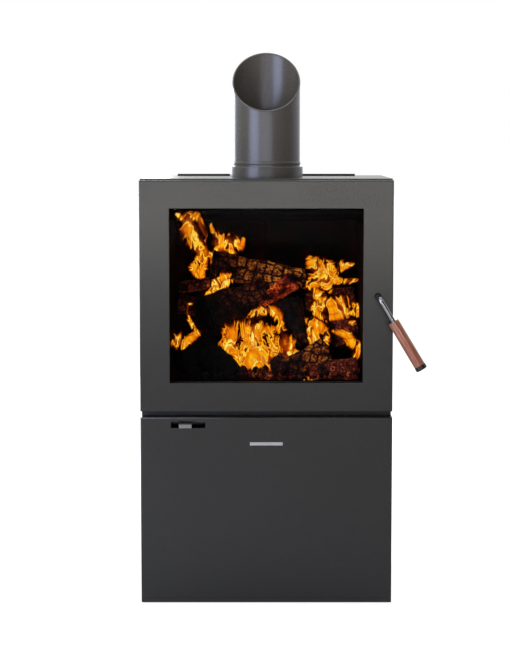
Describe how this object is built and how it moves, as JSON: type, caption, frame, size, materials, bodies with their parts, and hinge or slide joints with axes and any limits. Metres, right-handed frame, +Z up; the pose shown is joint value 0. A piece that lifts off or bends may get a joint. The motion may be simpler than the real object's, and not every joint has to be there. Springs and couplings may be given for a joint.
{
  "type": "wood burning stove",
  "caption": "Free-standing steel wood burning stove on a tall pedestal, with a full-width glazed door, a slanting wooden handle, an air lever and a mitred flue pipe.",
  "frame": {"origin": "centre of the pedestal's underside, on the floor", "axes": "+Z up, -Y towards the viewer of the door, +X to that viewer's right"},
  "size_m": [0.6026, 0.4953, 1.184],
  "materials": {
    "stove_paint": "satin heat-resistant paint",
    "dark_steel": "matt black heat-resistant paint",
    "flue_enamel": "satin dark grey flue enamel",
    "stainless": "brushed",
    "polished_rod": "dark polished",
    "firebrick": "rough, soot-darkened",
    "baffle_board": "rough board",
    "ceramic_glass": "clear, heat-resistant",
    "fibre_rope": "braided fibre",
    "walnut": "oiled",
    "black_cap": "matt black",
    "satin_badge": "satin"
  },
  "bodies": {
    "stove_body": {"pedestal_left_side": "stove_paint", "pedestal_right_side": "stove_paint", "pedestal_back": "stove_paint", "pedestal_top_plate": "stove_paint", "casing_left_side": "stove_paint", "casing_right_side": "stove_paint", "casing_back": "stove_paint", "casing_top": "stove_paint", "base_plate": "dark_steel", "neck_frame": "dark_steel", "air_duct": "dark_steel", "slide_rail_front": "dark_steel", "slide_rail_rear": "dark_steel", "casing_floor": "dark_steel", "firebox_front_plate": "dark_steel", "firebox_shell": "dark_steel", "airwash_plate": "dark_steel", "ember_guard": "dark_steel", "rear_heat_shield": "dark_steel", "hinge_arm_lower": "dark_steel", "hinge_arm_upper": "dark_steel", "flue_spigot": "flue_enamel", "flue_pipe": "flue_enamel", "air_tube_front": "stainless", "air_tube_rear": "stainless", "latch_keeper": "stainless", "shield_spacer_lower_left": "stainless", "shield_spacer_lower_right": "stainless", "shield_spacer_upper_left": "stainless", "shield_spacer_upper_right": "stainless", "floor_brick_left": "firebrick", "floor_brick_right": "firebrick", "back_brick_left": "firebrick", "back_brick_right": "firebrick", "side_brick_left_front": "firebrick", "side_brick_left_rear": "firebrick", "side_brick_right_front": "firebrick", "side_brick_right_rear": "firebrick", "baffle_board": "baffle_board"},
    "door": {"door_front": "stove_paint", "door_glass": "ceramic_glass", "glass_gasket": "fibre_rope", "door_seal_frame": "dark_steel", "door_rope_seal": "fibre_rope", "spindle_bush": "stainless", "door_hinge_lug_lower": "dark_steel", "door_hinge_lug_upper": "dark_steel", "hinge_pin_lower": "stainless", "hinge_pin_upper": "stainless"},
    "door_handle": {"handle_rod": "polished_rod", "handle_grip": "walnut", "handle_end_cap": "black_cap", "latch_cam": "stainless"},
    "air_slide_body": {"air_slide": "stainless"},
    "pedestal_panel": {"pedestal_front_panel": "stove_paint", "nameplate": "satin_badge", "panel_stud_lower_left": "stainless", "panel_stud_lower_right": "stainless", "panel_stud_upper_left": "stainless", "panel_stud_upper_right": "stainless"}
  },
  "joints": [
    {"name": "door_hinge", "type": "hinge", "parent": "stove_body", "child": "door", "pos_m": [-0.2595, -0.2, 0.66], "axis": [0, 0, -1], "range_deg": [0, 105]},
    {"name": "handle_turn", "type": "hinge", "parent": "door", "child": "door_handle", "pos_m": [0.2353, -0.22, 0.6606], "axis": [0, -1, 0], "range_deg": [0, 75]},
    {"name": "air_lever_slide", "type": "slide", "parent": "stove_body", "child": "air_slide_body", "axis": [1, 0, 0], "range_m": [-0.016, 0.027]},
    {"name": "panel_pull", "type": "slide", "parent": "stove_body", "child": "pedestal_panel", "axis": [0, -1, 0], "range_m": [0, 0.08]}
  ]
}
